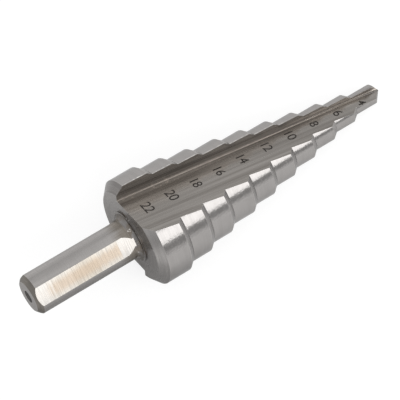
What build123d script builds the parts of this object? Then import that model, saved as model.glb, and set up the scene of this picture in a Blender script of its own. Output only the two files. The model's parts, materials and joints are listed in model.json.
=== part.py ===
from build123d import *
from math import acos, cos, radians, sin, sqrt
import os

# Step drill: one ground piece. It is built upright along Z, shank end at Z 0, then laid down.

# Step sizes (diameters, mm) from the shank side to the tip, and where each step ends
step_diameters = [22.0, 20.0, 18.0, 16.0, 14.0, 12.0, 10.0, 8.0, 6.0, 4.0]
first_front = 28.7
step_pitch = 5.28
fourth_step_extra = 0.45
last_step_extra = 0.83
chamfer_length = 1.17
point_height = 1.25

# Relief behind each cutting edge, mm per radian. The smallest steps have less of it:
# it grows by relief_gain for each millimetre of radius above relief_start
radial_relief = 0.285
axial_relief = 0.224
relief_gain = 0.1
relief_start = 1.5
point_relief = 0.34

# Back of the largest step
back_face = 22.2
bevel_length = 1.47
rim_radius = 9.1

# Shank
shank_diameter = 8.0
flat_distance = 3.55
flat_angle = 18.5
flat_full_length = 19.35
flat_runout = 1.9
shank_chamfer = 0.93
shank_end_radius = 3.05
shank_chamfer_crown = 7.0
centre_hole_radius = 1.25
centre_drill_radius = 0.5
centre_drill_depth = 2.4
neck_radius = 5.2
neck_height = 0.3
neck_fillet = 1.1

# Straight flutes: the line of the groove root and the two wall directions
root_back = (3.814, -6.914)
root_tip = (0.204, 0.083)
root_back_z = 20.8
root_tip_z = 80.8
rake_direction = -30.95
wall_direction_back = 50.2
wall_direction_tip = 59.9
root_fillet = 0.2
groove_reach = 18.0

# How far blanks and cutters reach past the faces that trim them
trim = 1.0
land_root_depth = 2.0

# Rest pose: the side that faces down, and how far the tip dips
rest_direction = 165.11
rest_lean = 8.28

# Derived positions
fronts = []
for i in range(len(step_diameters)):
    fronts.append(first_front + i * step_pitch + (fourth_step_extra if i > 2 else 0))
fronts[-1] += last_step_extra
tip = fronts[-1] + point_height
bevel_edge = back_face + bevel_length
root_slope = (
    (root_tip[0] - root_back[0]) / (root_tip_z - root_back_z),
    (root_tip[1] - root_back[1]) / (root_tip_z - root_back_z),
)


def root_at(z):
    return (
        root_back[0] + root_slope[0] * (z - root_back_z),
        root_back[1] + root_slope[1] * (z - root_back_z),
    )


def cutting_angle(radius, z):
    # Where the rake wall meets a circle of this radius
    normal = radians(rake_direction + 90)
    x, y = root_at(z)
    offset = x * cos(normal) + y * sin(normal)
    return normal - acos(offset / radius)


def reliefs(diameter):
    # Radial and axial relief of one step
    share = max(0.0, min(1.0, relief_gain * (diameter / 2 - relief_start) / radial_relief))
    axial = point_relief if diameter == step_diameters[-1] else axial_relief * share
    return radial_relief * share, axial


def land_profile(angle):
    # Outline of the relieved land in the half plane at this angle, as (radius, z)
    first = step_diameters[0] / 2
    behind = cutting_angle(first, fronts[0]) - angle
    outer = first - radial_relief * behind
    lean = (outer - rim_radius) / bevel_length
    rim = rim_radius - lean * trim
    outline = [(rim, back_face - trim), (outer, bevel_edge)]
    for diameter, front in zip(step_diameters, fronts):
        behind = cutting_angle(diameter / 2, front) - angle
        radial, axial = reliefs(diameter)
        radius = diameter / 2 - radial * behind
        end = front - axial * behind
        if diameter < step_diameters[0]:
            outline.append((radius, start))
        outline.append((radius, end))
        start = end + chamfer_length
    outline.append((0.1, tip - 0.1 * point_height / (step_diameters[-1] / 2)))
    outline.append((rim - land_root_depth, back_face - trim))
    return outline


# One relieved land, lofted through its outline at successive angles
land_start = radians(-22)
land_end = radians(-194)
land_sections = 9
with BuildPart() as land:
    for k in range(land_sections):
        angle = land_start + (land_end - land_start) * k / (land_sections - 1)
        half_plane = Plane((0, 0, 0), x_dir=(cos(angle), sin(angle), 0), z_dir=(sin(angle), -cos(angle), 0))
        with BuildSketch(half_plane):
            with BuildLine():
                Polyline(*land_profile(angle), close=True)
            make_face()
    loft()

with BuildPart() as blank:
    # Core under the lands
    with BuildSketch(Plane.XZ):
        with BuildLine():
            behind = radians(165)
            drop = radial_relief * behind
            core_rim = rim_radius - land_root_depth
            outline = [(0, back_face - trim), (core_rim, back_face - trim)]
            outline.append((step_diameters[0] / 2 - drop, bevel_edge + drop))
            for diameter, front in zip(step_diameters, fronts):
                radial, axial = reliefs(diameter)
                radius = diameter / 2 - radial * behind
                if diameter < step_diameters[0]:
                    outline.append((radius, start))
                start = front - axial * behind + chamfer_length
                outline.append((radius, start - chamfer_length))
            outline.append((0, tip))
            Polyline(*outline, close=True)
        make_face()
    revolve(axis=Axis.Z)
    with Locations((0, 0, 0), Location((0, 0, 0), (0, 0, 180))):
        add(land.part)
    # Flat back face
    split(bisect_by=Plane.XY.offset(back_face), keep=Keep.TOP)

# Groove cutter: a ruled loft between the section at the back and the one beyond the tip
with BuildPart() as groove:
    for z, root, wall in (
        (root_back_z, root_back, wall_direction_back),
        (root_tip_z, root_tip, wall_direction_tip),
    ):
        ends = []
        for direction in (wall, rake_direction):
            step = (cos(radians(direction)), sin(radians(direction)))
            ends.append((root[0] + groove_reach * step[0], root[1] + groove_reach * step[1]))
        with BuildSketch(Plane.XY.offset(z)) as section:
            with BuildLine():
                Polyline(root, ends[0], ends[1], close=True)
            make_face()
            fillet(section.vertices().sort_by_distance((*root, z))[0], root_fillet)
    loft(ruled=True)

with BuildPart() as upright:
    add(blank.part)
    with Locations((0, 0, 0), Location((0, 0, 0), (0, 0, 180))):
        add(groove.part, mode=Mode.SUBTRACT)

    # Shank with its end chamfer, neck and fillet
    radius = shank_diameter / 2
    shoulder = back_face - neck_height
    with BuildSketch(Plane.XZ):
        with BuildLine():
            Polyline(
                (radius + neck_fillet, shoulder),
                (neck_radius, shoulder),
                (neck_radius, bevel_edge),
                (0, bevel_edge),
                (0, 0),
                (shank_end_radius, 0),
            )
            RadiusArc((shank_end_radius, 0), (radius, shank_chamfer), -shank_chamfer_crown)
            Line((radius, shank_chamfer), (radius, shoulder - neck_fillet))
            RadiusArc((radius, shoulder - neck_fillet), (radius + neck_fillet, shoulder), neck_fillet)
        make_face()
    revolve(axis=Axis.Z)

    # Three ground flats with a sloping run-out
    side_clear = radius + trim
    flat_end = flat_full_length + flat_runout
    for k in range(3):
        angle = radians(flat_angle + 120 * k)
        side = Plane((0, 0, 0), x_dir=(cos(angle), sin(angle), 0), z_dir=(sin(angle), -cos(angle), 0))
        with BuildSketch(side):
            with BuildLine():
                Polyline(
                    (flat_distance, -trim),
                    (side_clear, -trim),
                    (side_clear, flat_end),
                    (radius, flat_end),
                    (flat_distance, flat_full_length),
                    close=True,
                )
            make_face()
        extrude(amount=radius, both=True, mode=Mode.SUBTRACT)

    # Centre hole in the shank end
    countersink_depth = (centre_hole_radius - centre_drill_radius) * sqrt(3)
    with BuildSketch(Plane.XZ):
        with BuildLine():
            Polyline(
                (0, 0),
                (centre_hole_radius, 0),
                (centre_drill_radius, countersink_depth),
                (centre_drill_radius, centre_drill_depth),
                (0, centre_drill_depth + centre_drill_radius * 0.6),
                close=True,
            )
        make_face()
    revolve(axis=Axis.Z, mode=Mode.SUBTRACT)

# Lay the drill down: it rests on the step corners at both sides of one flute
flat, lean = cos(radians(rest_lean)), sin(radians(rest_lean))
side = (cos(radians(rest_direction)), sin(radians(rest_direction)))
down = Vector(flat * side[0], flat * side[1], lean)
along = Vector(-lean * side[0], -lean * side[1], flat)
floor = Plane((0, 0, 0), x_dir=along, z_dir=-down)
laid = floor.to_local_coords(upright.part)
box = laid.bounding_box()
with BuildPart() as step_drill:
    with Locations((-box.center().X, -box.center().Y, -box.min.Z)):
        add(laid)
step_drill.part.label = "step_drill"

os.makedirs("parts", exist_ok=True)
export_step(step_drill.part, "parts/step_drill.step")
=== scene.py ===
import json
import math

import bmesh
import bpy
from mathutils import Matrix, Vector


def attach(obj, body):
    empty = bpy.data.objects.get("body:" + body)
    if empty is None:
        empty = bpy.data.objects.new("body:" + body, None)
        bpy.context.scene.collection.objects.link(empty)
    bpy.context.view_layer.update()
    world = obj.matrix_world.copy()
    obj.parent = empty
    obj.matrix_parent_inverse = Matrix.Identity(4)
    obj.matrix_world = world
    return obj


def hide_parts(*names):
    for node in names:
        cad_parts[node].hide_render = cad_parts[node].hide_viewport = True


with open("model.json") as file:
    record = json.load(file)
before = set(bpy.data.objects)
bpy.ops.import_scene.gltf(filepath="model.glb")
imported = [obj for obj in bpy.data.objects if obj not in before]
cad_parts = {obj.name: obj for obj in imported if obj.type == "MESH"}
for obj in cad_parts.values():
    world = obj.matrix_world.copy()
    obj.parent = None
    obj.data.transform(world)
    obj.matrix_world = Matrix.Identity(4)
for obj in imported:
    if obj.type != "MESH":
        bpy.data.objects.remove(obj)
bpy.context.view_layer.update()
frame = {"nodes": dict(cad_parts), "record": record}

bl_info = {
    "name": "Step drill studio",
    "version": (1, 0, 0),
    "blender": (4, 5, 0),
    "location": "3D View > Sidebar > Step drill",
    "description": "Ground steel finishes, step numbers and a plain studio for a step drill",
    "category": "Object",
}

MM = 0.001

# The drill in its own frame, millimetres: Z runs from the shank end to the tip
FLAT_ANGLE = 18.5
FLAT_COUNT = 3
FLAT_HALF_WIDTH = 1.84
FLAT_FULL_LENGTH = 19.35
SHANK_RADIUS = 4.0
SHANK_CHAMFER = 0.93
CENTRE_HOLE_RADIUS = 1.25
NECK_START = 20.8
NECK_RADIUS = 5.2
BACK_FACE = 22.2
BEVEL_EDGE = 23.67
POINT_START = 76.4

# Straight flute: the groove root and its two walls, at the back and beyond the tip
ROOT_BACK = Vector((3.814, -6.914))
ROOT_TIP = Vector((0.204, 0.083))
ROOT_BACK_Z = 20.8
ROOT_TIP_Z = 80.8
RAKE_DIRECTION = math.radians(-30.95)
WALL_BACK = math.radians(50.2)
WALL_TIP = math.radians(59.9)

# How far the rounding of the groove root reaches, and how wide the flute walls are at both ends
ROOT_REACH = 0.3
WALL_WIDTH_BACK = 10.0
WALL_WIDTH_TIP = 1.9

# Relief of the lands, mm per radian: the smallest steps have less of it
LAND_RELIEF = {4: 0.05, 6: 0.15, 8: 0.25}
LAND_RELIEF_PLAIN = 0.285
SMALLEST_STEP, LARGEST_STEP = 4, 22

# How near a face lies to a surface to be part of it, in millimetres
FINE_SLACK = 0.01
SLACK = 0.02
RADIUS_SLACK = 0.05
WALL_SLACK = 0.06
WALL_START = 0.15

# How squarely a face points along a direction, as a cosine
ON_FLAT = 0.9995
ON_RAMP = 0.965
ON_WALL = 0.97
ON_LAND = 0.98
SQUARE = 0.99
BACK_SQUARE = 0.999
ROOT_OUTWARD = 0.9
RAMP_LEAN = 0.2
CHAMFER_LEAN = 0.3
POINT_LEAN = 0.5

# The grain map: where turns are measured as lengths, how a cone's slope counts, how the rake is set apart
GRAIN_RADIUS = 6
GRAIN_SLOPE = 0.5
RAKE_GRAIN = 40

# Angle in front of a cutting edge that still counts as the land behind it, in radians
EDGE_WRAP = 0.05

# Merging of the body's seams, and the angle past which its edges stay sharp
SEAM_MERGE = 0.0005 * MM
SHARP_ANGLE = math.radians(40)

# Each step number's middle: from the shank end, out from the groove root, and its height share
NUMBER_PLACES = {
    22: (25.94, 4.41, 1.03), 20: (31.23, 3.99, 1.04), 18: (36.56, 3.58, 0.97), 16: (41.76, 3.14, 0.97),
    14: (47.01, 2.65, 0.97), 12: (52.54, 2.25, 0.95), 10: (57.90, 1.97, 0.98), 8: (63.28, 1.56, 0.92),
    6: (68.66, 1.42, 0.99), 4: (74.02, 1.34, 0.84),
}

# Stroke weight of the smallest number, which is burnt wider than the others
SMALL_NUMBER_WEIGHT = {4: 0.004}


def unit(angle):
    return Vector((math.cos(angle), math.sin(angle)))


def drill_frame():
    """Matrix from the drill's own frame to the row frame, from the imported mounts."""
    mounts = {m["name"]: m for m in frame["record"]["mounts"]}
    axis = -Vector(mounts["shank"]["axis"]).normalized()
    on_axis = Vector(mounts["shank"]["pos_m"])
    end_face = Vector(mounts["shank_end"]["pos_m"])
    origin = on_axis + axis * (end_face - on_axis).dot(axis)
    flat = Vector(mounts["jaw_flat_1"]["axis"]).normalized()
    x_axis = Matrix.Rotation(math.radians(-FLAT_ANGLE), 3, axis) @ flat
    y_axis = axis.cross(x_axis)
    turned = Matrix((x_axis, y_axis, axis)).transposed().to_4x4()
    return Matrix.Translation(origin) @ turned


DRILL = drill_frame()


def to_row(point):
    """A point in the drill's own millimetres, as row metres."""
    return DRILL @ (Vector(point) * MM)


def root_at(z):
    return ROOT_BACK.lerp(ROOT_TIP, (z - ROOT_BACK_Z) / (ROOT_TIP_Z - ROOT_BACK_Z))


def wall_at(z, out):
    """Point of the number wall at this height, out mm from the groove root."""
    share = (z - ROOT_BACK_Z) / (ROOT_TIP_Z - ROOT_BACK_Z)
    back = ROOT_BACK + unit(WALL_BACK) * out
    tip = ROOT_TIP + unit(WALL_TIP) * out
    return back.lerp(tip, share)


def wall_distance(point):
    """How far a point is from the number wall and out from its root."""
    along = wall_at(point.z, 1.0) - root_at(point.z)
    across = Vector((along.y, -along.x)).normalized()
    offset = point.xy - root_at(point.z)
    return offset.dot(across), offset.dot(along.normalized())


def rake_distance(point):
    """How far a point is from the rake wall and out from its root."""
    across = unit(RAKE_DIRECTION + math.pi / 2)
    offset = point.xy - root_at(point.z)
    return offset.dot(across), offset.dot(unit(RAKE_DIRECTION))


def flat_facing(turn):
    """Which way a shank flat faces, in radians round the axis."""
    return math.radians(FLAT_ANGLE + 360 / FLAT_COUNT * turn)


def turned_back(point, side):
    """The same place on the first flute: side is 1 for that flute and -1 for the other."""
    return Vector((point.x * side, point.y * side, point.z))


def flute_side(kind):
    """1 for a surface of the first flute and -1 for one of the second."""
    return 1 if kind.endswith("_1") else -1


def surface_of(point, normal):
    """Which ground surface a face belongs to. A flute's surfaces end in 1, or -1 for the second flute."""
    radius = point.xy.length
    outward = normal.xy.dot(point.xy) / max(radius, 1e-6)
    if point.z < BACK_FACE - SLACK:
        if point.z < FINE_SLACK:
            return "end_face"
        if radius < CENTRE_HOLE_RADIUS + RADIUS_SLACK:
            return "centre_hole"
        if point.z < SHANK_CHAMFER and normal.z < -CHAMFER_LEAN:
            return "shank_chamfer"
        on_shank = radius < SHANK_RADIUS + FINE_SLACK
        for turn in range(FLAT_COUNT):
            flat = unit(flat_facing(turn))
            if normal.xy.dot(flat) > ON_FLAT:
                return "flat_%d" % turn
            if normal.xy.dot(flat) > ON_RAMP and normal.z < -RAMP_LEAN and on_shank:
                return "ramp_%d" % turn
        if on_shank and outward > SQUARE:
            return "shank"
        if normal.z < -SQUARE:
            return "shoulder"
        if outward > SQUARE and radius > NECK_RADIUS - RADIUS_SLACK:
            return "collar"
        return "fillet"
    if normal.z < -BACK_SQUARE:
        return "back_face"
    if point.z < BEVEL_EDGE and normal.z < -CHAMFER_LEAN and outward > CHAMFER_LEAN:
        return "bevel"
    if point.z < BACK_FACE + SLACK:
        return "collar"
    for side in (1, -1):
        place = turned_back(point, side)
        facing = normal.xy * side
        wall_gap, wall_out = wall_distance(place)
        rake_gap, rake_out = rake_distance(place)
        wall_way, rake_way = unit(WALL_BACK - math.pi / 2), unit(RAKE_DIRECTION + math.pi / 2)
        if abs(wall_gap) < WALL_SLACK and wall_out > WALL_START and facing.dot(wall_way) > ON_WALL:
            return "wall_%d" % side
        if abs(rake_gap) < WALL_SLACK and rake_out > WALL_START and facing.dot(rake_way) > ON_WALL:
            return "rake_%d" % side
        if (place.xy - root_at(place.z)).length < ROOT_REACH and outward < ROOT_OUTWARD:
            return "root_%d" % side
    if point.z > POINT_START and normal.z > POINT_LEAN:
        return "point"
    if normal.z > CHAMFER_LEAN:
        return "chamfer"
    return "land"


# Surfaces that run into each other without an edge
TANGENT = [{"shank", "fillet"}, {"wall_1", "root_1"}, {"rake_1", "root_1"}, {"wall_-1", "root_-1"},
           {"rake_-1", "root_-1"}]


def grain_of(kind, point, turn_angle):
    """Grain coordinates in millimetres: along the grinding marks, and across them."""
    angle = math.atan2(point.y, point.x)
    angle += 2 * math.pi * round((turn_angle - angle) / (2 * math.pi))
    radius = point.xy.length
    family = kind.split("_")[0]
    if family in ("wall", "rake", "root"):
        place = turned_back(point, flute_side(kind))
        out = wall_distance(place)[1] if family == "wall" else rake_distance(place)[1]
        return point.z, out + (RAKE_GRAIN if family == "rake" else 0)
    if family in ("flat", "ramp"):
        return point.xy.dot(unit(flat_facing(int(kind[-1])) + math.pi / 2)), point.z
    if kind in ("end_face", "back_face", "shoulder"):
        return angle * GRAIN_RADIUS, radius
    return angle * GRAIN_RADIUS, point.z + radius * GRAIN_SLOPE


def cutting_angle(radius, z):
    """Where the rake wall meets a circle of this radius, in radians round the axis."""
    across = RAKE_DIRECTION + math.pi / 2
    return across - math.acos(root_at(z).dot(unit(across)) / radius)


def angle_behind(point):
    """How far a point lies behind the first cutting edge, in radians."""
    return cutting_angle(point.xy.length, point.z) - math.atan2(point.y, point.x)


def reach_of(kind, point):
    """Where a point lies on its surface, as two values. Far along is counted in shank lengths.
    Flute: its share of the way out from the groove root, and millimetres out.
    Land: how far along, and millimetres behind the cutting edge.
    Chamfer: how far along, and how far it turns away.
    Bevel: its share of a quarter turn behind the cutting edge.
    Flat: its share of the way to either side, and of the flat's length.
    The rest: how far along."""
    family = kind.split("_")[0]
    if family in ("wall", "rake", "root"):
        place = turned_back(point, flute_side(kind))
        share = (place.z - BACK_FACE) / (POINT_START - BACK_FACE)
        width = WALL_WIDTH_BACK + (WALL_WIDTH_TIP - WALL_WIDTH_BACK) * share
        out = (place.xy - root_at(place.z)).length
        return out / width, out
    if family in ("flat", "ramp"):
        across = point.xy.dot(unit(flat_facing(int(kind[-1])) + math.pi / 2))
        return across / FLAT_HALF_WIDTH, point.z / FLAT_FULL_LENGTH
    if kind == "land":
        behind = (angle_behind(point) + EDGE_WRAP) % math.pi - EDGE_WRAP
        return point.z / NECK_START, behind * point.xy.length
    if kind == "chamfer":
        return point.z / NECK_START, -point.y / point.xy.length
    if family == "bevel":
        return angle_behind(point) % math.pi / (math.pi / 2), 0
    return point.z / NECK_START, 0


def land_normal(point):
    """The true normal of a relieved land: it falls away behind the cutting edge."""
    radius = point.xy.length
    size = min(LARGEST_STEP, max(SMALLEST_STEP, 2 * math.ceil(radius - SLACK)))
    relief = LAND_RELIEF.get(size, LAND_RELIEF_PLAIN)
    turn = math.atan2(point.y, point.x) - math.atan(relief / radius)
    return Vector((math.cos(turn), math.sin(turn), 0))


FINISHES = {
    "land": "land_steel", "chamfer": "chamfer_steel", "point": "chamfer_steel", "bevel": "bevel_steel",
    "back_face": "turned_face_steel", "shoulder": "turned_face_steel", "collar": "neck_steel",
    "fillet": "neck_steel", "wall": "flute_steel", "rake": "rake_steel", "root": "root_steel",
    "shank": "shank_steel", "shank_chamfer": "shank_end_steel", "flat": "flat_steel", "ramp": "flat_steel",
    "end_face": "end_steel", "centre_hole": "hole_steel",
}


def finish_of(kind):
    return FINISHES.get(kind) or FINISHES[kind.split("_")[0]]


class DrillFinish(bpy.types.PropertyGroup):
    steel: bpy.props.FloatVectorProperty(
        name="Ground steel", description="Colour of the fine ground lands", subtype="COLOR", size=3,
        min=0, max=1, default=(0.345, 0.331, 0.322))
    flute: bpy.props.FloatVectorProperty(
        name="Flute walls", description="Colour of the flute walls, ground lengthwise", subtype="COLOR",
        size=3, min=0, max=1, default=(0.345, 0.325, 0.305))
    flat: bpy.props.FloatVectorProperty(
        name="Jaw flats", description="Colour of the three shank flats, ground crosswise", subtype="COLOR",
        size=3, min=0, max=1, default=(0.347, 0.292, 0.238))
    mark: bpy.props.FloatVectorProperty(
        name="Number colour", description="Colour of the laser marked step numbers", subtype="COLOR", size=3,
        min=0, max=1, default=(0.022, 0.019, 0.017))
    # The edge radius only sets the width of the painted edge highlight and glints; shape and shading stay
    # sharp
    edge_radius: bpy.props.FloatProperty(
        name="Edge radius", description="Rounding that the light catches along the ground edges",
        subtype="DISTANCE", unit="LENGTH", default=0.08 * MM, min=0)


class StepNumbers(bpy.types.PropertyGroup):
    height: bpy.props.FloatProperty(
        name="Number height", description="Height of the step numbers", subtype="DISTANCE", unit="LENGTH",
        default=1.88 * MM, min=0.5 * MM)
    spacing: bpy.props.FloatProperty(
        name="Digit spacing", description="Spacing of the digits against the font's own", default=0.92,
        min=0.5)
    weight: bpy.props.FloatProperty(
        name="Stroke weight", description="How much wider the strokes are than the font's own",
        default=-0.001)
    raised: bpy.props.FloatProperty(
        name="Mark height", description="How far the marks stand proud of the wall", subtype="DISTANCE",
        unit="LENGTH", default=0.025 * MM, min=0)


class StudioSettings(bpy.types.PropertyGroup):
    floor_size: bpy.props.FloatProperty(
        name="Floor size", description="Side of the plain floor", subtype="DISTANCE", unit="LENGTH",
        default=4.0, min=0.5)
    # Floor shade: the middle of a painted shadow on the floor, seen only in the steel
    floor_shade: bpy.props.FloatVectorProperty(
        name="Floor shade", description="Middle of the darker floor beside the shank", subtype="TRANSLATION",
        unit="LENGTH", size=3, default=(-0.032, -0.014, 0))
    strip_distance: bpy.props.FloatProperty(
        name="Strip light distance", description="Distance of the strip light from the drill",
        subtype="DISTANCE", unit="LENGTH", default=0.9, min=0.2)
    strip_level: bpy.props.FloatProperty(
        name="Strip light level", description="Brightness of the strip light as steel mirrors it",
        default=1.95, min=0)
    strip_turn: bpy.props.FloatProperty(
        name="Strip light turn", description="Where the strip light stands round the drill", subtype="ANGLE",
        unit="ROTATION", default=math.radians(31.1))
    strip_spread: bpy.props.FloatProperty(
        name="Strip light spread", description="Half the angle that the strip light covers from the drill",
        subtype="ANGLE", unit="ROTATION", default=math.radians(14.1), min=math.radians(1))
    sky_level: bpy.props.FloatProperty(
        name="Room level", description="Brightness of the room overhead", default=1.05, min=0)
    side_level: bpy.props.FloatProperty(
        name="Side level", description="Brightness of the room's walls at the height of a lamp", default=0.8,
        min=0)
    low_level: bpy.props.FloatProperty(
        name="Low level", description="Brightness of the room just above the floor", default=1.0, min=0)
    dark_level: bpy.props.FloatProperty(
        name="Dark band level", description="Brightness of the dark side below the strip light", default=0.5,
        min=0)


def deselect_all():
    if bpy.context.object and bpy.context.object.mode != "OBJECT":
        bpy.ops.object.mode_set(mode="OBJECT")
    bpy.ops.object.select_all(action="DESELECT")


def make_active(obj):
    deselect_all()
    obj.select_set(True)
    bpy.context.view_layer.objects.active = obj


# Where a mask starts to show and where it is full, over the noise or the cosine that it comes from
WANDER_SPAN = (0.3, 0.7)
BROAD_SPAN = (0.35, 0.7)
FINE_SPAN = (0.4, 0.7)
CLOUD_SPAN = (0.45, 0.75)
PIT_SPAN = (0.4, 0.7)
EDGE_SPAN = (0.995, 0.93)
SPARK_SPAN = (0.55, 0.72)
GRINDING_ROUGHNESS = 0.6


class Nodes:
    """Adds nodes to a tree and links them by name."""

    def __init__(self, tree):
        self.tree = tree
        self.column = 0

    def add(self, kind, **settings):
        node = self.tree.nodes.new(kind)
        node.location = (220 * self.column, 0)
        self.column += 1
        for name, value in settings.items():
            setattr(node, name, value)
        return node

    def link(self, out, into):
        self.tree.links.new(out, into)

    def math(self, operation, a, b=None, clamp=False):
        node = self.add("ShaderNodeMath", operation=operation, use_clamp=clamp)
        for socket, value in zip(node.inputs, (a, b)):
            self.feed(socket, value)
        return node.outputs[0]

    def feed(self, socket, value):
        if value is None:
            return
        if isinstance(value, bpy.types.NodeSocket):
            self.link(value, socket)
        else:
            socket.default_value = value

    def ramp(self, value, low, high, to_low=0.0, to_high=1.0):
        node = self.add("ShaderNodeMapRange", interpolation_type="SMOOTHSTEP")
        self.feed(node.inputs["Value"], value)
        node.inputs["From Min"].default_value = low
        node.inputs["From Max"].default_value = high
        node.inputs["To Min"].default_value = to_low
        node.inputs["To Max"].default_value = to_high
        return node.outputs[0]

    def noise(self, vector, scale, detail=2.0, rough=0.5):
        node = self.add("ShaderNodeTexNoise", noise_dimensions="3D")
        self.feed(node.inputs["Vector"], vector)
        self.feed(node.inputs["Scale"], scale)
        node.inputs["Detail"].default_value = detail
        node.inputs["Roughness"].default_value = rough
        return node.outputs["Fac"]

    def times(self, a, b):
        return self.math("MULTIPLY", a, b)

    def grit(self, scale, detail=2.0):
        """Noise that stays with the piece."""
        return self.noise(self.add("ShaderNodeTexCoord").outputs["Object"], scale, detail)

    def wandering(self, value, broad, amount):
        """A place that the broad grinding streaks push to and fro, so that no change has a straight edge."""
        return self.math("ADD", value, self.ramp(broad, *WANDER_SPAN, -amount, amount))

    def mix(self, factor, a, b):
        node = self.add("ShaderNodeMix", data_type="RGBA")
        self.feed(node.inputs["Factor"], factor)
        self.feed(node.inputs[6], a)
        self.feed(node.inputs[7], b)
        return node.outputs[2]

    def tinted(self, factor, colour, tint):
        node = self.add("ShaderNodeMix", data_type="RGBA", blend_type="MULTIPLY", clamp_factor=True)
        self.feed(node.inputs["Factor"], factor)
        self.feed(node.inputs[6], colour)
        self.feed(node.inputs[7], tint)
        return node.outputs[2]


def new_group(name, inputs, outputs):
    tree = bpy.data.node_groups.new(name, "ShaderNodeTree")
    for label, kind, value in inputs:
        socket = tree.interface.new_socket(label, in_out="INPUT", socket_type=kind)
        if value is not None:
            socket.default_value = value
    for label, kind in outputs:
        tree.interface.new_socket(label, in_out="OUTPUT", socket_type=kind)
    nodes = Nodes(tree)
    return tree, nodes, nodes.add("NodeGroupInput"), nodes.add("NodeGroupOutput")


def grinding_group():
    """Grinding marks: fine scratch lines and broad streaks that follow the grain map."""
    tree, n, given, out = new_group(
        "grinding_marks",
        [("Fine Along", "NodeSocketFloat", 0.25), ("Fine Across", "NodeSocketFloat", 9.0),
         ("Broad Along", "NodeSocketFloat", 0.06), ("Broad Across", "NodeSocketFloat", 1.3)],
        [("Fine", "NodeSocketFloat"), ("Broad", "NodeSocketFloat")])
    grain = n.add("ShaderNodeUVMap", uv_map="grain")
    apart = n.add("ShaderNodeSeparateXYZ")
    n.link(grain.outputs[0], apart.inputs[0])
    for label in ("Fine", "Broad"):
        joined = n.add("ShaderNodeCombineXYZ")
        n.link(n.times(apart.outputs[0], given.outputs[label + " Along"]), joined.inputs[0])
        n.link(n.times(apart.outputs[1], given.outputs[label + " Across"]), joined.inputs[1])
        n.link(n.noise(joined.outputs[0], 1.0, 2.0, GRINDING_ROUGHNESS), out.inputs[label])
    return tree


def edge_group():
    """Masks for painted highlights on ground edges: 1 on the edge, 0 a little way in, and the same broken by
    fine grain where glints are painted.
    """
    tree, n, given, out = new_group(
        "painted_edge_highlight",
        [("Radius", "NodeSocketFloat", 0.05 * MM), ("Breaks", "NodeSocketFloat", 2500.0)],
        [("Edge", "NodeSocketFloat"), ("Spark", "NodeSocketFloat")])
    rounded = n.add("ShaderNodeBevel", samples=6)
    n.link(given.outputs["Radius"], rounded.inputs["Radius"])
    plain = n.add("ShaderNodeNewGeometry")
    facing = n.add("ShaderNodeVectorMath", operation="DOT_PRODUCT")
    n.link(rounded.outputs[0], facing.inputs[0])
    n.link(plain.outputs["Normal"], facing.inputs[1])
    edge = n.ramp(facing.outputs["Value"], *EDGE_SPAN)
    n.link(edge, out.inputs["Edge"])
    n.link(n.times(edge, n.ramp(n.grit(given.outputs["Breaks"], 1.0), *SPARK_SPAN)), out.inputs["Spark"])
    return tree


def mottle_group():
    """Soft unevenness of the steel: a cloudy mask and fine pits."""
    tree, n, given, out = new_group(
        "steel_mottle",
        [("Cloud Scale", "NodeSocketFloat", 400.0), ("Pit Scale", "NodeSocketFloat", 2600.0)],
        [("Cloud", "NodeSocketFloat"), ("Pits", "NodeSocketFloat")])
    n.link(n.grit(given.outputs["Cloud Scale"], 3.0), out.inputs["Cloud"])
    n.link(n.grit(given.outputs["Pit Scale"]), out.inputs["Pits"])
    return tree


def shared(name, build):
    return bpy.data.node_groups.get(name) or build()


def grey(level):
    return (level, level, level, 1)


def scaled(colour, share):
    return tuple(min(1.0, c * share) for c in colour)


# Colours that show in places only; the edge line and the near-white specks are painted highlights
PAINTED_EDGE_LINE = (0.78, 0.76, 0.73, 1)
ROUGH_GRAIN = (0.46, 0.42, 0.385, 1)
FLAT_END = (0.418, 0.406, 0.389, 1)
NECK_MARK = (0.62, 0.60, 0.57, 1)
PAINTED_GLINT = (0.85, 0.83, 0.8, 1)

# What all finishes share: how deep and how strongly streaks, lines and clouds darken, how far the change
# over the reach map wanders, the painted edge highlights and glints, the bump and the gloss
STREAK_DEPTH = 0.7
CLOUD_DEPTH = 0.8
STREAK_STRENGTH = 4
LINE_STRENGTH = 2
CLOUD_STRENGTH = 4
REACH_WANDER = 0.05
EDGE_SHARE = 0.7
SPARK_FADE = 0.8
BUMP_DEPTH = 0.01 * MM
GRAZING_TINT = 0.7
PIT_ROUGHNESS = 0.04
PLAIN_PIT_ROUGHNESS = 0.008
QUARTER_TURN = 0.25


def map_place(n, name):
    """Both values of one of the body's surface maps."""
    apart = n.add("ShaderNodeSeparateXYZ")
    n.link(n.add("ShaderNodeUVMap", uv_map=name).outputs[0], apart.inputs[0])
    return apart.outputs[0], apart.outputs[1]


# The tones add what only one surface has. Each takes the broad streaks and the colour so far and gives the
# new colour. On the flute walls, places along and out from the groove root are in millimetres.


def land_tones(n, broad, base):
    """A painted highlight: a bright broken line along the cutting edge."""
    along, behind = map_place(n, "reach")
    line = n.times(n.ramp(behind, 0.34, 0.18), n.ramp(n.grit(1500.0), 0.42, 0.60, 0.15, 1.0))
    past_first_step = n.ramp(along, 1.40, 1.55, 1.0, 0.5)
    before_small_steps = n.ramp(along, 3.1, 2.5)
    return n.mix(n.times(n.times(line, past_first_step), before_small_steps), base, PAINTED_EDGE_LINE)


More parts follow.
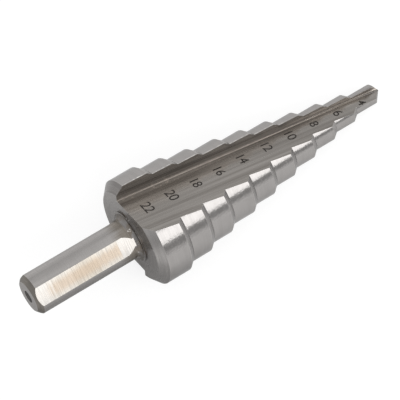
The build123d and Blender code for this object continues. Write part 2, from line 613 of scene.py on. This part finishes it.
def wall_tones(n, broad, base):
    """At the back a dark streak beside the groove root, painted shade of the deep corner, with rough grain
    in the corner.
    Near the tip a lighter groove."""
    out, along = map_place(n, "reach")[1], map_place(n, "grain")[0]
    wander = n.wandering(out, broad, 0.25)
    off_middle = n.math("ABSOLUTE", n.math("SUBTRACT", wander, 1.35))
    streak = n.times(n.ramp(off_middle, 0.75, 0.25), n.ramp(along, 44, 34))
    # Painted shade: the streak darkens the colour beside the groove root
    base = n.tinted(streak, base, (0.74, 0.73, 0.72, 1))
    rough = n.times(n.ramp(wander, 0.95, 0.60), n.ramp(n.grit(1800.0), 0.56, 0.68))
    base = n.mix(n.times(rough, n.ramp(along, 62, 46, 0.0, 0.6)), base, ROUGH_GRAIN)
    groove = n.times(n.ramp(along, 56, 68), n.ramp(out, 1.15, 0.55))
    groove = n.times(groove, n.ramp(along, 78, 72, 0.1, 1.0))
    base = n.tinted(groove, base, (1.75, 1.73, 1.71, 1))
    outside = n.times(n.ramp(along, 58, 68), n.ramp(out, 1.0, 1.5))
    return n.tinted(outside, base, (0.95, 0.95, 0.95, 1))


def rake_tones(n, broad, base):
    """Lighter where the wall is ground again at the cutting edge, and near the tip."""
    share, along = map_place(n, "reach")[0], map_place(n, "grain")[0]
    wander = n.wandering(share, broad, 0.03)
    ground_again = n.times(n.ramp(wander, 0.31, 0.41), n.ramp(along, 62, 48))
    base = n.tinted(ground_again, base, (1.5, 1.5, 1.5, 1))
    base = n.tinted(n.ramp(along, 50, 74), base, (1.3, 1.28, 1.26, 1))
    tip_groove = n.times(n.ramp(along, 69, 77), n.ramp(share, 0.6, 0.3))
    return n.tinted(tip_groove, base, (1.40, 1.39, 1.37, 1))


def root_tones(n, broad, base):
    """The groove root grows darker towards the tip."""
    along = map_place(n, "grain")[0]
    base = n.tinted(n.ramp(along, 58, 74), base, (0.66, 0.65, 0.63, 1))
    return n.tinted(n.ramp(along, 71, 78), base, (0.50, 0.50, 0.50, 1))


def chamfer_tones(n, broad, base):
    """Painted light: brighter where a chamfer turns away to the low side."""
    return n.tinted(n.ramp(map_place(n, "reach")[1], 0.35, 0.9), base, (1.2, 1.19, 1.18, 1))


def flat_tones(n, broad, base):
    """Nearly white towards the ends of a flat and on its run-out, deeper in colour in the middle."""
    across, along = map_place(n, "reach")
    wander = n.wandering(along, broad, 0.05)
    ends = n.math("MAXIMUM", n.ramp(wander, 0.26, 0.08), n.ramp(wander, 0.90, 0.97))
    base = n.mix(n.times(ends, 0.85), base, FLAT_END)
    middle = n.ramp(n.math("ABSOLUTE", n.math("SUBTRACT", wander, 0.58)), 0.22, 0.04)
    base = n.tinted(middle, base, (0.92, 0.90, 0.87, 1))
    return n.tinted(n.ramp(across, 0.1, 0.9), base, (0.88, 0.88, 0.88, 1))


def bevel_tones(n, broad, base):
    """Darker just behind the cutting edge."""
    return n.tinted(n.ramp(map_place(n, "reach")[0], 0.45, 0.12), base, (0.66, 0.65, 0.65, 1))


def shank_tones(n, broad, base):
    """Heat stain where the shank meets the neck."""
    wander = n.wandering(map_place(n, "reach")[0], broad, 0.03)
    return n.tinted(n.ramp(wander, 0.84, 0.98), base, (0.64, 0.60, 0.54, 1))


def neck_tones(n, broad, base):
    """Brown stains and bright rough marks."""
    base = n.tinted(n.ramp(n.grit(500.0, 3.0), 0.40, 0.62), base, (0.75, 0.68, 0.60, 1))
    return n.mix(n.ramp(n.grit(1300.0), 0.60, 0.70), base, NECK_MARK)


def steel(name, colour, roughness=0.26, fine=(0.25, 9.0), broad=(0.06, 1.3), streak=0.12, streak_tint=None,
          rough_spread=0.06, bump=0.15, painted_edge_light=1.6, spark=0.5, edge_width=1.0, anisotropy=0.0,
          cloud=0.06, reach=None, pits=0.0, tones=None, spark_ends=None):
    """Ground steel: grinding lines along the grain, broad streaks, painted highlights along the edges and
    slight mottling.
    reach is (where the change starts, where it ends, colour towards the edge) over the reach map, tones
    adds what only this surface has, and spark_ends is how far along the drill the painted glints on the
    edges reach."""
    material = bpy.data.materials.new(name)
    material.use_nodes = True
    tree = material.node_tree
    tree.nodes.clear()
    n = Nodes(tree)
    marks = n.add("ShaderNodeGroup", node_tree=shared("grinding_marks", grinding_group))
    for label, (along, across) in (("Fine", fine), ("Broad", broad)):
        marks.inputs[label + " Along"].default_value = along
        marks.inputs[label + " Across"].default_value = across
    lines, streaks = marks.outputs["Fine"], marks.outputs["Broad"]
    edges = n.add("ShaderNodeGroup", node_tree=shared("painted_edge_highlight", edge_group))
    edges.inputs["Radius"].default_value = bpy.context.scene.drill_finish.edge_radius * edge_width
    mottle = n.add("ShaderNodeGroup", node_tree=shared("steel_mottle", mottle_group))

    # Colour: streaks, lines and clouds, then what this surface adds, then painted highlights and glints on
    # the edges
    dark = (*scaled(colour, STREAK_DEPTH), 1)
    streak_colour = (*streak_tint, 1) if streak_tint else dark
    base = n.mix(n.ramp(streaks, *BROAD_SPAN, 0.0, streak * STREAK_STRENGTH), (*colour, 1), streak_colour)
    base = n.mix(n.ramp(lines, *FINE_SPAN, 0.0, streak * LINE_STRENGTH), base, dark)
    clouds = n.ramp(mottle.outputs["Cloud"], *CLOUD_SPAN, 0.0, cloud * CLOUD_STRENGTH)
    base = n.mix(clouds, base, (*scaled(colour, CLOUD_DEPTH), 1))
    if reach:
        starts, ends, outer = reach
        wander = n.wandering(n.math("ABSOLUTE", map_place(n, "reach")[0]), streaks, REACH_WANDER)
        base = n.tinted(n.ramp(wander, starts, ends), base, (*(c / i for c, i in zip(outer, colour)), 1))
    if tones:
        base = tones(n, streaks, base)
    # Painted highlight: the edges are lightened in colour over the edge mask, then near-white glints are
    # painted on them
    base = n.mix(n.times(edges.outputs["Edge"], EDGE_SHARE), base, (*scaled(colour, painted_edge_light), 1))
    painted_glint = n.times(edges.outputs["Spark"], spark)
    if spark_ends:
        painted_glint = n.times(painted_glint, n.ramp(map_place(n, "reach")[0], spark_ends, spark_ends * SPARK_FADE))
    base = n.mix(painted_glint, base, PAINTED_GLINT)

    # Gloss and bump
    rough = n.ramp(lines, *WANDER_SPAN, roughness - rough_spread, roughness + rough_spread)
    pitted = PIT_ROUGHNESS if pits else PLAIN_PIT_ROUGHNESS
    rough = n.math("ADD", rough, n.ramp(mottle.outputs["Pits"], *PIT_SPAN, 0.0, pitted))
    relief = n.add("ShaderNodeBump")
    relief.inputs["Strength"].default_value = bump
    relief.inputs["Distance"].default_value = BUMP_DEPTH
    n.link(n.math("ADD", lines, n.times(mottle.outputs["Pits"], pits)), relief.inputs["Height"])
    shader = n.add("ShaderNodeBsdfPrincipled")
    shader.inputs["Metallic"].default_value = 1.0
    shader.inputs["Specular Tint"].default_value = grey(GRAZING_TINT)
    n.link(base, shader.inputs["Base Color"])
    n.link(rough, shader.inputs["Roughness"])
    n.link(relief.outputs[0], shader.inputs["Normal"])
    if anisotropy:
        shader.inputs["Anisotropic"].default_value = anisotropy
        shader.inputs["Anisotropic Rotation"].default_value = QUARTER_TURN
        direction = n.add("ShaderNodeTangent", direction_type="UV_MAP", uv_map="grain")
        n.link(direction.outputs[0], shader.inputs["Tangent"])
    end = n.add("ShaderNodeOutputMaterial")
    n.link(shader.outputs[0], end.inputs["Surface"])
    return material


def steel_finishes():
    """Every finish of the drill by name."""
    look = bpy.context.scene.drill_finish
    ground, flute, flat = tuple(look.steel), tuple(look.flute), tuple(look.flat)
    recipes = {
        "land_steel": dict(
            colour=ground, roughness=0.15, rough_spread=0.03, bump=0.35, streak=0.04, fine=(0.25, 4.5),
            spark=0.8, spark_ends=2.9, painted_edge_light=1.8, edge_width=1.6, pits=5.0, tones=land_tones),
        "chamfer_steel": dict(
            colour=scaled(ground, 0.98), streak=0.08, fine=(0.25, 4.5), painted_edge_light=1.9, edge_width=1.3,
            spark=0.3, tones=chamfer_tones),
        "bevel_steel": dict(
            colour=ground, roughness=0.28, bump=0.3, streak=0.14, fine=(0.15, 3.5), tones=bevel_tones),
        "turned_face_steel": dict(
            colour=scaled(ground, 1.15), roughness=0.3, bump=0.2, streak=0.08, anisotropy=0.7),
        "neck_steel": dict(
            colour=scaled(ground, 0.74), roughness=0.36, bump=0.7, streak=0.2, fine=(0.5, 4.0), cloud=0.15,
            spark=1.0, tones=neck_tones),
        # Painted shade: the reach darkens the flute wall towards the groove root and lightens it outwards
        "flute_steel": dict(
            colour=scaled(flute, 0.82), bump=0.10, streak=0.27, rough_spread=0.02, spark=0.2,
            fine=(0.035, 3.0), broad=(0.02, 0.9), streak_tint=(0.18, 0.166, 0.153),
            reach=(0.12, 0.75, scaled(flute, 1.07)), tones=wall_tones),
        "rake_steel": dict(
            colour=scaled(flute, 1.55), roughness=0.3, bump=0.10, fine=(0.05, 3.6), broad=(0.02, 1.1),
            streak_tint=(0.16, 0.14, 0.125), reach=(0.12, 0.45, flute), painted_edge_light=1.2, spark=0.2,
            tones=rake_tones),
        "root_steel": dict(
            colour=(0.375, 0.335, 0.298), roughness=0.55, bump=0.4, streak=0.25, fine=(1.5, 5.0), cloud=0.25,
            painted_edge_light=1.0, spark=0.3, tones=root_tones),
        "shank_steel": dict(
            colour=scaled(ground, 1.1), roughness=0.24, bump=0.05, streak=0.07, fine=(0.2, 3.5),
            broad=(0.9, 0.03), tones=shank_tones),
        # Painted reflection: the shank end chamfer is darkened all round in colour, for the dark
        # surroundings that it mirrors
        "shank_end_steel": dict(
            colour=(0.205, 0.190, 0.172), roughness=0.34, bump=0.4, streak=0.15, fine=(0.3, 4.0), cloud=0.2,
            painted_edge_light=2.2, spark=1.0),
        "flat_steel": dict(
            colour=flat, roughness=0.27, bump=0.25, streak=0.10, fine=(0.2, 5.0), broad=(0.10, 1.1),
            streak_tint=scaled(flat, 0.82), reach=(0.2, 1.0, (0.410, 0.387, 0.353)), painted_edge_light=1.2,
            tones=flat_tones),
        "end_steel": dict(colour=scaled(ground, 1.12), roughness=0.34, bump=0.3, streak=0.1),
        # Painted shade: the centre hole is darkened in colour for the shade in the recess
        "hole_steel": dict(colour=scaled(ground, 0.32), roughness=0.42, bump=0.3, streak=0.2),
    }
    return {name: steel(name, **recipe) for name, recipe in recipes.items()}


class DRILL_OT_ground_body(bpy.types.Operator):
    """Make the shown drill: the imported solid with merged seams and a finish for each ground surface"""

    bl_idname = "drill.ground_body"
    bl_label = "Ground body"

    def execute(self, context):
        source = frame["nodes"]["step_drill"]
        body = bpy.data.objects.new("ground_body", source.data.copy())
        context.scene.collection.objects.link(body)
        make_active(body)
        bpy.ops.mesh.customdata_custom_splitnormals_clear()
        bpy.ops.object.mode_set(mode="EDIT")
        bpy.ops.mesh.select_all(action="SELECT")
        bpy.ops.mesh.remove_doubles(threshold=SEAM_MERGE)
        bpy.ops.object.mode_set(mode="OBJECT")
        self.finish_surfaces(body)
        self.true_lands(body)
        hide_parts("step_drill")
        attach(body, "root")
        return {"FINISHED"}

    def finish_surfaces(self, body):
        finishes = steel_finishes()
        names = list(finishes)
        body.data.materials.clear()
        for name in names:
            body.data.materials.append(finishes[name])
        back = DRILL.inverted()
        turn = back.to_3x3()
        mesh = bmesh.new()
        mesh.from_mesh(body.data)
        grain = mesh.loops.layers.uv.new("grain")
        reach = mesh.loops.layers.uv.new("reach")
        kinds = []
        for face in mesh.faces:
            face.smooth = True
            place = back @ face.calc_center_median() / MM
            kind = surface_of(place, turn @ face.normal)
            kinds.append(kind)
            face.material_index = names.index(finish_of(kind))
            middle = math.atan2(place.y, place.x)
            for loop in face.loops:
                spot = back @ loop.vert.co / MM
                loop[grain].uv = grain_of(kind, spot, middle)
                loop[reach].uv = reach_of(kind, spot)
        for edge in mesh.edges:
            if len(edge.link_faces) != 2:
                edge.smooth = False
                continue
            pair = {kinds[f.index] for f in edge.link_faces}
            edge.smooth = len(pair) == 1 and edge.calc_face_angle(0) < SHARP_ANGLE or pair in TANGENT
        mesh.to_mesh(body.data)
        mesh.free()

    def true_lands(self, body):
        """Shade the lands by their ground curve rather than by their facets."""
        mesh = body.data
        back, to_world = DRILL.inverted(), DRILL.to_3x3()
        land = [m.name for m in mesh.materials].index("land_steel")
        normals = [Vector((0, 0, 0))] * len(mesh.loops)
        for face in mesh.polygons:
            if face.material_index != land:
                continue
            for index in face.loop_indices:
                true = to_world @ land_normal(back @ mesh.vertices[mesh.loops[index].vertex_index].co / MM)
                if true.dot(face.normal) > ON_LAND:
                    normals[index] = true
        mesh.normals_split_custom_set(normals)


class DRILL_OT_step_numbers(bpy.types.Operator):
    """Mark the step sizes on the wall of the first flute"""

    bl_idname = "drill.step_numbers"
    bl_label = "Step numbers"

    # Steps of each curve of a digit, the merging of its outline, and the bend that counts as straight
    curve_steps = 6
    outline_merge = 1e-5
    straight = math.radians(1)

    # The burnt mark: the size of its grain, where it pales and how much, its roughness and its gloss
    burn_grain = 2500.0
    burn_span = (0.4, 0.75)
    paleness = 3.0
    burn_roughness = (0.5, 0.7)
    burn_gloss = 0.2

    def execute(self, context):
        made = context.scene.step_numbers
        material = bpy.data.materials.new("laser_mark")
        material.use_nodes = True
        n = Nodes(material.node_tree)
        shader = material.node_tree.nodes["Principled BSDF"]
        burn = n.grit(self.burn_grain, 3.0)
        dark = tuple(context.scene.drill_finish.mark)
        pale = scaled(dark, self.paleness)
        n.link(n.mix(n.ramp(burn, *self.burn_span), (*dark, 1), (*pale, 1)), shader.inputs["Base Color"])
        n.link(n.ramp(burn, *WANDER_SPAN, *self.burn_roughness), shader.inputs["Roughness"])
        shader.inputs["Specular IOR Level"].default_value = self.burn_gloss
        for size, (along, out, share) in NUMBER_PLACES.items():
            deselect_all()
            bpy.ops.object.text_add(location=(0, 0, 0))
            word = context.object
            word.data.body = str(size)
            word.data.align_x = "CENTER"
            word.data.align_y = "CENTER"
            word.data.space_character = made.spacing
            word.data.offset = SMALL_NUMBER_WEIGHT.get(size, made.weight)
            word.data.resolution_u = self.curve_steps
            bpy.ops.object.convert(target="MESH")
            mark = context.object
            mark.name = "number_%d" % size
            mark.data.name = mark.name
            self.clean_outline(mark, made.height * share)
            self.lay_on_wall(mark, along, out)
            self.thicken(mark, made.raised)
            mark.data.materials.clear()
            mark.data.materials.append(material)
            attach(mark, "root")
        return {"FINISHED"}

    def clean_outline(self, mark, height):
        """Merge the flat word, bring it to its height in millimetres and centre it."""
        make_active(mark)
        bpy.ops.object.mode_set(mode="EDIT")
        bpy.ops.mesh.select_all(action="SELECT")
        bpy.ops.mesh.remove_doubles(threshold=self.outline_merge)
        bpy.ops.mesh.dissolve_limited(angle_limit=self.straight)
        bpy.ops.mesh.quads_convert_to_tris()
        bpy.ops.object.mode_set(mode="OBJECT")
        corners = [Vector(corner) for corner in mark.bound_box]
        low, high = corners[0], corners[6]
        middle = (low + high) / 2
        share = height / MM / (high.y - low.y)
        for vert in mark.data.vertices:
            vert.co = (vert.co - middle) * share

    def lay_on_wall(self, mark, along, out):
        """Wrap the flat word on the number wall, its top towards the tip."""
        for vert in mark.data.vertices:
            z = along + vert.co.y
            spot = wall_at(z, out + vert.co.x)
            vert.co = to_row((spot.x, spot.y, z))

    def thicken(self, mark, raised):
        """Give the word its thickness, half of it sunk in the wall."""
        make_active(mark)
        film = mark.modifiers.new("film", "SOLIDIFY")
        film.thickness = 2 * raised
        film.offset = 0
        bpy.ops.object.modifier_apply(modifier=film.name)
        bpy.ops.object.mode_set(mode="EDIT")
        bpy.ops.mesh.select_all(action="SELECT")
        bpy.ops.mesh.normals_make_consistent(inside=False)
        bpy.ops.object.mode_set(mode="OBJECT")


class DRILL_OT_studio(bpy.types.Operator):
    """Set the plain floor, the strip light and the soft room"""

    bl_idname = "drill.studio"
    bl_label = "Studio"

    # Floor: how it lights the drill, how it shows in the picture and how the steel mirrors it
    floor_bounce = 0.8
    floor_seen = 0.24
    floor_mirrored = 0.6
    floor_glow = 0.8
    mirrored_dimming = 0.4
    # Painted shadow beside the shank in the floor that the steel mirrors: its depth and its span
    shade_dimming = 0.4
    shade_span = (0.010, 0.036)

    # Strip light: its height over the drill's level, half its length, and the place that it aims at
    strip_lift = math.radians(8)
    strip_half_length = math.radians(33)
    strip_aim = (0, 0, 40)

    # Room, by the height of the direction: low walls, the rise to the sky, and the dark band's edges
    low_walls = (0.05, 0.35)
    sky_rise = (0.4, 0.95)
    band_bottom = (0.10, 0.17)
    band_top = (0.40, 0.52)
    band_side = (0.2, 0.5)

    def execute(self, context):
        studio = context.scene.studio_settings
        self.floor(studio)
        self.strip_light(context, studio)
        self.room(context, studio)
        context.scene.view_settings.view_transform = "Standard"
        return {"FINISHED"}

    def floor(self, studio):
        deselect_all()
        bpy.ops.mesh.primitive_plane_add(size=studio.floor_size, location=(0, 0, 0))
        floor = bpy.context.object
        floor.name = "floor"
        material = bpy.data.materials.new("floor_white")
        material.use_nodes = True
        tree = material.node_tree
        tree.nodes.clear()
        n = Nodes(tree)
        path = n.add("ShaderNodeLightPath")
        mirrored = path.outputs["Is Glossy Ray"]
        seen = n.math("MAXIMUM", path.outputs["Is Camera Ray"], mirrored)
        seen = n.math("MAXIMUM", seen, path.outputs["Is Transmission Ray"])
        plain = n.add("ShaderNodeBsdfDiffuse")
        plain.inputs["Color"].default_value = grey(self.floor_bounce)
        shade = n.add("ShaderNodeBsdfDiffuse")
        n.link(n.mix(mirrored, grey(self.floor_seen), grey(self.floor_mirrored)), shade.inputs["Color"])
        glow = n.add("ShaderNodeEmission")
        glow.inputs["Color"].default_value = grey(1)
        # Mirrored in the steel, the floor carries a painted shadow beside the shank
        spot = n.add("ShaderNodeVectorMath", operation="DISTANCE")
        n.link(n.add("ShaderNodeTexCoord").outputs["Object"], spot.inputs[0])
        spot.inputs[1].default_value = studio.floor_shade
        shaded = n.ramp(spot.outputs["Value"], *self.shade_span, self.shade_dimming, 0.0)
        dim = n.times(mirrored, n.math("ADD", self.mirrored_dimming, shaded))
        n.link(n.math("SUBTRACT", self.floor_glow, dim), glow.inputs["Strength"])
        both = n.add("ShaderNodeAddShader")
        n.link(glow.outputs[0], both.inputs[0])
        n.link(shade.outputs[0], both.inputs[1])
        pick = n.add("ShaderNodeMixShader")
        n.link(seen, pick.inputs[0])
        n.link(plain.outputs[0], pick.inputs[1])
        n.link(both.outputs[0], pick.inputs[2])
        end = n.add("ShaderNodeOutputMaterial")
        n.link(pick.outputs[0], end.inputs["Surface"])
        floor.data.materials.append(material)

    def strip_light(self, context, studio):
        """A long soft strip beside the camera, in line with the drill."""
        around = unit(studio.strip_turn) * math.cos(self.strip_lift)
        direction = (DRILL.to_3x3() @ Vector((*around, math.sin(self.strip_lift)))).normalized()
        axis = DRILL.to_3x3() @ Vector((0, 0, 1))
        width = 2 * studio.strip_distance * math.tan(studio.strip_spread)
        length = 2 * studio.strip_distance * math.tan(self.strip_half_length)
        deselect_all()
        place = to_row(self.strip_aim) + direction * studio.strip_distance
        bpy.ops.object.light_add(type="AREA", location=place)
        lamp = context.object
        lamp.name = "strip_light"
        lamp.data.shape = "RECTANGLE"
        lamp.data.size = length
        lamp.data.size_y = width
        lamp.data.energy = studio.strip_level * math.pi * width * length
        along = (axis - direction * axis.dot(direction)).normalized()
        side = direction.cross(along)
        turned = Matrix((along, side, direction)).transposed().to_4x4()
        lamp.matrix_world = Matrix.Translation(lamp.location) @ turned

    def room(self, context, studio):
        """Light low walls, plainer higher up and lighter overhead, with a dark side below the strip."""
        world = bpy.data.worlds.new("soft_room")
        world.use_nodes = True
        context.scene.world = world
        tree = world.node_tree
        tree.nodes.clear()
        n = Nodes(tree)
        apart = n.add("ShaderNodeSeparateXYZ")
        n.link(n.add("ShaderNodeTexCoord").outputs["Generated"], apart.inputs[0])
        towards_camera, height = n.times(apart.outputs[1], -1.0), apart.outputs[2]
        level = n.ramp(height, *self.low_walls, studio.low_level, studio.side_level)
        overhead = n.ramp(height, *self.sky_rise, 0.0, studio.sky_level - studio.side_level)
        level = n.math("ADD", level, overhead)
        band = n.times(n.ramp(height, *self.band_bottom), n.ramp(height, *self.band_top, 1.0, 0.0))
        band = n.times(band, n.ramp(towards_camera, *self.band_side))
        level = n.times(level, n.math("SUBTRACT", 1.0, band))
        level = n.math("ADD", level, n.times(band, studio.dark_level))
        path = n.add("ShaderNodeLightPath")
        level = n.math("MAXIMUM", level, path.outputs["Is Camera Ray"])
        ground = n.add("ShaderNodeBackground")
        ground.inputs["Color"].default_value = grey(1)
        n.link(level, ground.inputs["Strength"])
        end = n.add("ShaderNodeOutputWorld")
        n.link(ground.outputs[0], end.inputs["Surface"])


class DRILL_OT_camera(bpy.types.Operator):
    """Place the camera where the photograph was taken from, looking along the shank towards the tip"""

    bl_idname = "drill.camera"
    bl_label = "Camera"

    # The view in the drill's own frame: turn of the drill in the picture, its dip away from the camera,
    # the camera's distance and scale, and the pixel that the shank side of the axis falls on
    turn = math.radians(30.603)
    dip = math.radians(17.621)
    distance = 429.29
    pixels_per_mm = 5.56474
    axis_pixel = (32.120, 294.495)
    axis_z = 0.8
    picture = 400
    sensor = 36.0

    def execute(self, context):
        sin_t, cos_t = math.sin(self.turn), math.cos(self.turn)
        sin_d, cos_d = math.sin(self.dip), math.cos(self.dip)
        # The drill's axes as the camera sees them (right, up, towards the camera)
        tip_way = Vector((cos_d * cos_t, cos_d * sin_t, -sin_d))
        side_way = Vector((sin_t, -cos_t, 0))
        near_way = Vector((sin_d * cos_t, sin_d * sin_t, cos_d))
        seen = Matrix((near_way, side_way, tip_way)).transposed()
        middle = self.picture / 2
        offset = Vector(((self.axis_pixel[0] - middle) / self.pixels_per_mm,
                         (middle - self.axis_pixel[1]) / self.pixels_per_mm, 0))
        place = seen.transposed() @ (Vector((0, 0, self.distance)) - offset) + Vector((0, 0, self.axis_z))
        turned = DRILL.to_3x3() @ seen.transposed()
        deselect_all()
        bpy.ops.object.camera_add()
        camera = context.object
        camera.name = "photo_camera"
        camera.matrix_world = Matrix.Translation(to_row(place)) @ turned.to_4x4()
        camera.data.sensor_width = self.sensor
        camera.data.lens = self.pixels_per_mm * self.distance * self.sensor / self.picture
        camera.data.clip_start = 0.01
        camera.data.clip_end = 20
        context.scene.camera = camera
        return {"FINISHED"}


class DRILL_PT_panel(bpy.types.Panel):
    """Buttons that build the step drill piece by piece"""

    bl_label = "Step drill"
    bl_idname = "DRILL_PT_panel"
    bl_space_type = "VIEW_3D"
    bl_region_type = "UI"
    bl_category = "Step drill"

    def draw(self, context):
        for name in ("drill_finish", "step_numbers", "studio_settings"):
            group = getattr(context.scene, name)
            box = self.layout.box()
            for prop in group.bl_rna.properties:
                if prop.identifier not in ("rna_type", "name"):
                    box.prop(group, prop.identifier)
        for operator in OPERATORS:
            self.layout.operator(operator.bl_idname)


GROUPS = {"drill_finish": DrillFinish, "step_numbers": StepNumbers, "studio_settings": StudioSettings}
OPERATORS = (DRILL_OT_ground_body, DRILL_OT_step_numbers, DRILL_OT_studio, DRILL_OT_camera)


def register():
    for cls in (*GROUPS.values(), *OPERATORS, DRILL_PT_panel):
        bpy.utils.register_class(cls)
    for name, group in GROUPS.items():
        setattr(bpy.types.Scene, name, bpy.props.PointerProperty(type=group))


def unregister():
    for name in GROUPS:
        delattr(bpy.types.Scene, name)
    for cls in reversed((*GROUPS.values(), *OPERATORS, DRILL_PT_panel)):
        bpy.utils.unregister_class(cls)


def main():
    register()
    bpy.ops.drill.ground_body()
    bpy.ops.drill.step_numbers()
    bpy.ops.drill.studio()
    bpy.ops.drill.camera()


if __name__ == "__main__":
    main()
